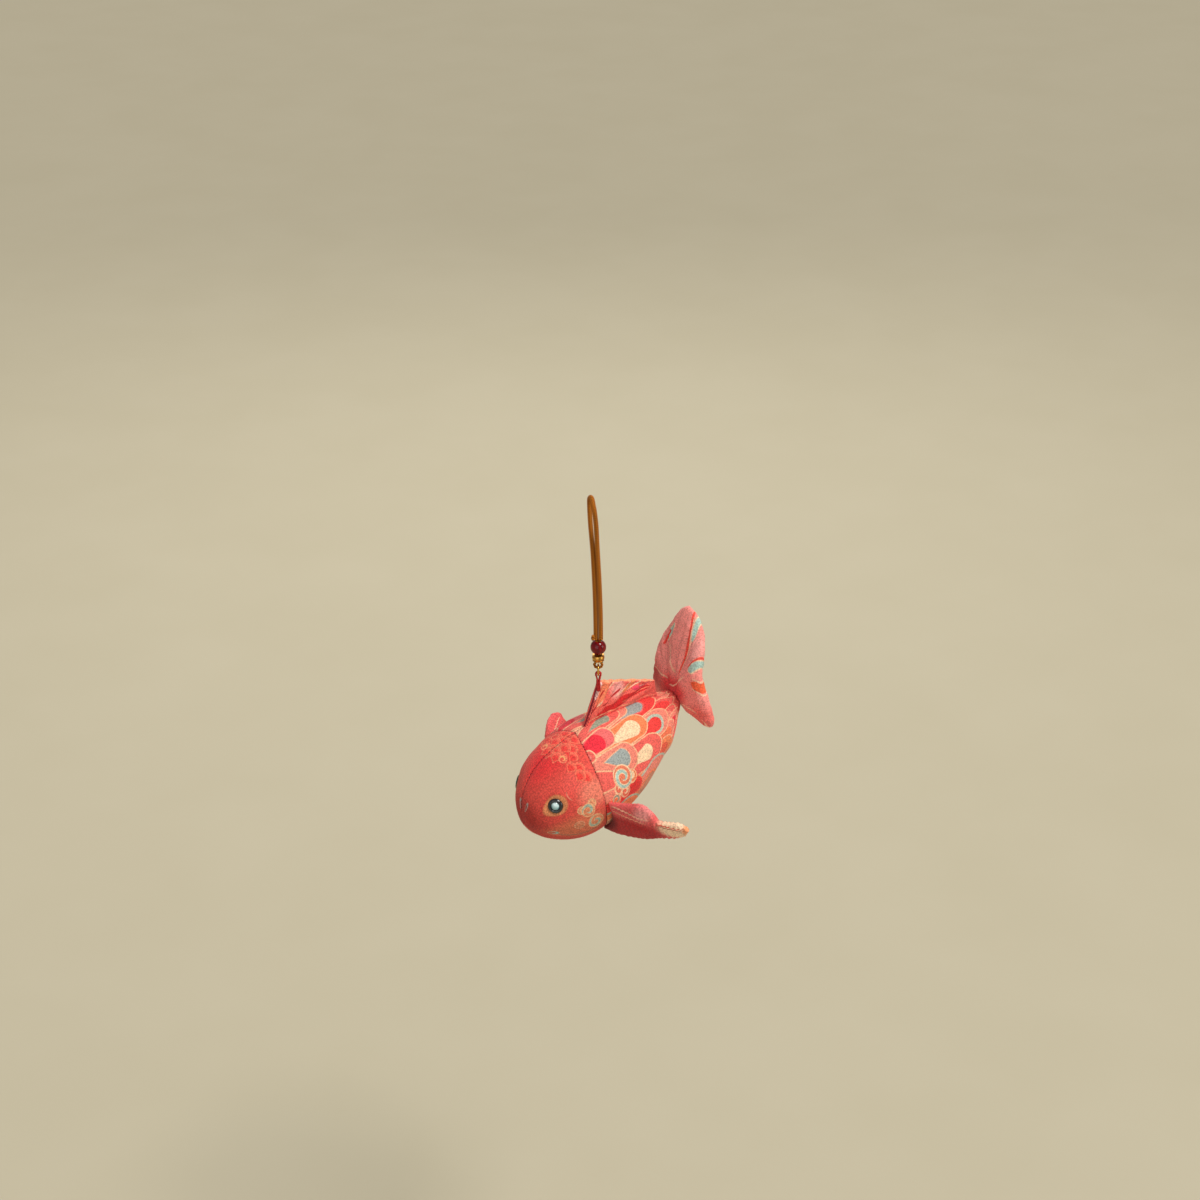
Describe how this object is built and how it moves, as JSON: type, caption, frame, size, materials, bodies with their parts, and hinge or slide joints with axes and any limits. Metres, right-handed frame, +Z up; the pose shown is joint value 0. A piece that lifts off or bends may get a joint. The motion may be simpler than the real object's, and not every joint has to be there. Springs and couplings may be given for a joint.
{
  "type": "hanging fish charm",
  "caption": "Padded brocade koi hung nose down by its back fin from a jump ring, beads and a doubled cord loop.",
  "frame": {"origin": "inside top of the cord loop, where a hook or finger holds the charm", "axes": "+Z up, the fish's nose towards -X, its left side towards -Y, its median plane parallel to XZ"},
  "size_m": [0.083, 0.0893, 0.1394],
  "materials": {
    "cord": "matte",
    "agate": "polished",
    "gold": "polished",
    "thread": "matte",
    "head_brocade": "matte",
    "body_brocade": "matte",
    "belly_brocade": "matte",
    "fin_brocade": "matte",
    "filling": "matte",
    "eye_black": "gloss",
    "eye_pearl": "gloss",
    "washer": "matte"
  },
  "bodies": {
    "hanging_cord": {"cord_loop": "cord", "knot_stub": "cord"},
    "cord_foot": {"cord_eye": "cord"},
    "agate_bead": {"agate_bead": "agate"},
    "gold_spacer": {"gold_spacer": "gold"},
    "jump_ring": {"jump_ring": "gold"},
    "fish": {"thread_loop": "thread", "head_cover_left": "head_brocade", "head_cover_right": "head_brocade", "body_cover_left": "body_brocade", "body_cover_right": "body_brocade", "belly_strip": "belly_brocade", "filling": "filling", "back_fin_left": "fin_brocade", "back_fin_right": "fin_brocade", "eye_ring_left": "eye_black", "eye_ring_right": "eye_black", "eye_pearl_left": "eye_pearl", "eye_pearl_right": "eye_pearl", "eye_washer_left": "washer", "eye_washer_right": "washer"},
    "left_fin": {"left_fin_cover_front": "fin_brocade", "left_fin_cover_back": "fin_brocade", "left_fin_filling": "filling"},
    "right_fin": {"right_fin_cover_front": "fin_brocade", "right_fin_cover_back": "fin_brocade", "right_fin_filling": "filling"},
    "tail": {"tail_cover_front": "fin_brocade", "tail_cover_back": "fin_brocade", "tail_filling": "filling"}
  },
  "joints": [
    {"name": "cord_twist", "type": "hinge", "parent": "hanging_cord", "child": "cord_foot", "pos_m": [0.002, -0.0015, -0.058], "axis": [0, 0, 1], "range_deg": [-90, 90]},
    {"name": "bead_spin", "type": "hinge", "parent": "cord_foot", "child": "agate_bead", "pos_m": [0.002, -0.0015, -0.0612], "axis": [0, 0, 1], "continuous": true},
    {"name": "spacer_spin", "type": "hinge", "parent": "cord_foot", "child": "gold_spacer", "pos_m": [0.002, -0.0015, -0.0656], "axis": [0, 0, 1], "continuous": true},
    {"name": "ring_swing", "type": "hinge", "parent": "cord_foot", "child": "jump_ring", "pos_m": [0.002, -0.0015, -0.07015], "axis": [0.788, -0.6157, 0], "range_deg": [-40, 40]},
    {"name": "fish_swing", "type": "hinge", "parent": "jump_ring", "child": "fish", "pos_m": [0.002, -0.0015, -0.073], "axis": [-0.6157, -0.788, 0], "range_deg": [-45, 45]},
    {"name": "left_fin_flap", "type": "hinge", "parent": "fish", "child": "left_fin", "pos_m": [-0.00627, -0.01698, -0.12474], "axis": [-0.445, -0.1153, 0.8881], "range_deg": [-30, 8], "stiffness_Nm_per_rad": 0.02},
    {"name": "right_fin_flap", "type": "hinge", "parent": "fish", "child": "right_fin", "pos_m": [-0.00627, 0.01398, -0.12474], "axis": [0.577, -0.1308, -0.8062], "range_deg": [-22, 3], "stiffness_Nm_per_rad": 0.02},
    {"name": "tail_sway", "type": "hinge", "parent": "fish", "child": "tail", "pos_m": [0.03853, -0.0015, -0.0973], "axis": [-0.342, 0, 0.9397], "range_deg": [-14, 14], "stiffness_Nm_per_rad": 0.03}
  ]
}
